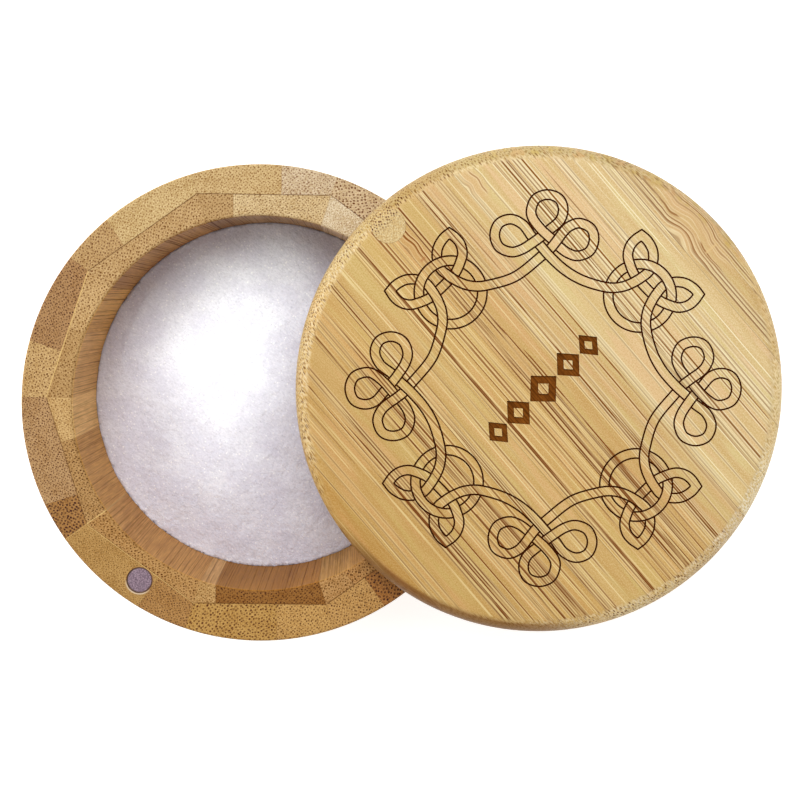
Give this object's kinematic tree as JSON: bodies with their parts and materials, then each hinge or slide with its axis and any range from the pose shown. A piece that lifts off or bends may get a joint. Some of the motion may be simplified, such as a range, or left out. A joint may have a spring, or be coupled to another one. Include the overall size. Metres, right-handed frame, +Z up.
{
  "type": "salt box",
  "caption": "Round bamboo salt box: a bowl of mitred two-ply staves under a flat round lid that swivels sideways on an upright dowel and is held shut by magnets.",
  "frame": {"origin": "centre of the flat underside, on the bowl's turning axis", "axes": "+Z up, +Y from the bowl's axis to the lid's swivel dowel, the magnet near -Y; stored with the lid swung open 78.7 degrees towards +X"},
  "size_m": [0.1286, 0.1214, 0.0635],
  "materials": {
    "bamboo_outer_ply": "satin",
    "bamboo_inner_ply": "satin",
    "bamboo_base": "satin",
    "bamboo_lid": "satin",
    "bamboo_dowel": "satin",
    "magnet_metal": "satin",
    "fine_salt": "matte"
  },
  "bodies": {
    "body": {"outer_stave_01": "bamboo_outer_ply", "outer_stave_02": "bamboo_outer_ply", "outer_stave_03": "bamboo_outer_ply", "outer_stave_04": "bamboo_outer_ply", "outer_stave_05": "bamboo_outer_ply", "outer_stave_06": "bamboo_outer_ply", "outer_stave_07": "bamboo_outer_ply", "outer_stave_08": "bamboo_outer_ply", "outer_stave_09": "bamboo_outer_ply", "outer_stave_10": "bamboo_outer_ply", "inner_stave_01": "bamboo_inner_ply", "inner_stave_02": "bamboo_inner_ply", "inner_stave_03": "bamboo_inner_ply", "inner_stave_04": "bamboo_inner_ply", "inner_stave_05": "bamboo_inner_ply", "inner_stave_06": "bamboo_inner_ply", "inner_stave_07": "bamboo_inner_ply", "inner_stave_08": "bamboo_inner_ply", "inner_stave_09": "bamboo_inner_ply", "inner_stave_10": "bamboo_inner_ply", "base_disc": "bamboo_base", "body_magnet": "magnet_metal", "salt_fill": "fine_salt"},
    "lid": {"lid_strip_01": "bamboo_lid", "lid_strip_02": "bamboo_lid", "lid_strip_03": "bamboo_lid", "lid_strip_04": "bamboo_lid", "lid_strip_05": "bamboo_lid", "lid_strip_06": "bamboo_lid", "lid_strip_07": "bamboo_lid", "lid_strip_08": "bamboo_lid", "lid_strip_09": "bamboo_lid", "lid_strip_10": "bamboo_lid", "lid_strip_11": "bamboo_lid", "lid_strip_12": "bamboo_lid", "pivot_dowel": "bamboo_dowel", "lid_magnet": "magnet_metal"}
  },
  "joints": [
    {"name": "lid_swivel", "type": "hinge", "parent": "body", "child": "lid", "pos_m": [0, 0.0405, 0.0535], "axis": [0, 0, 1], "range_deg": [-78.7, 101.3]}
  ]
}
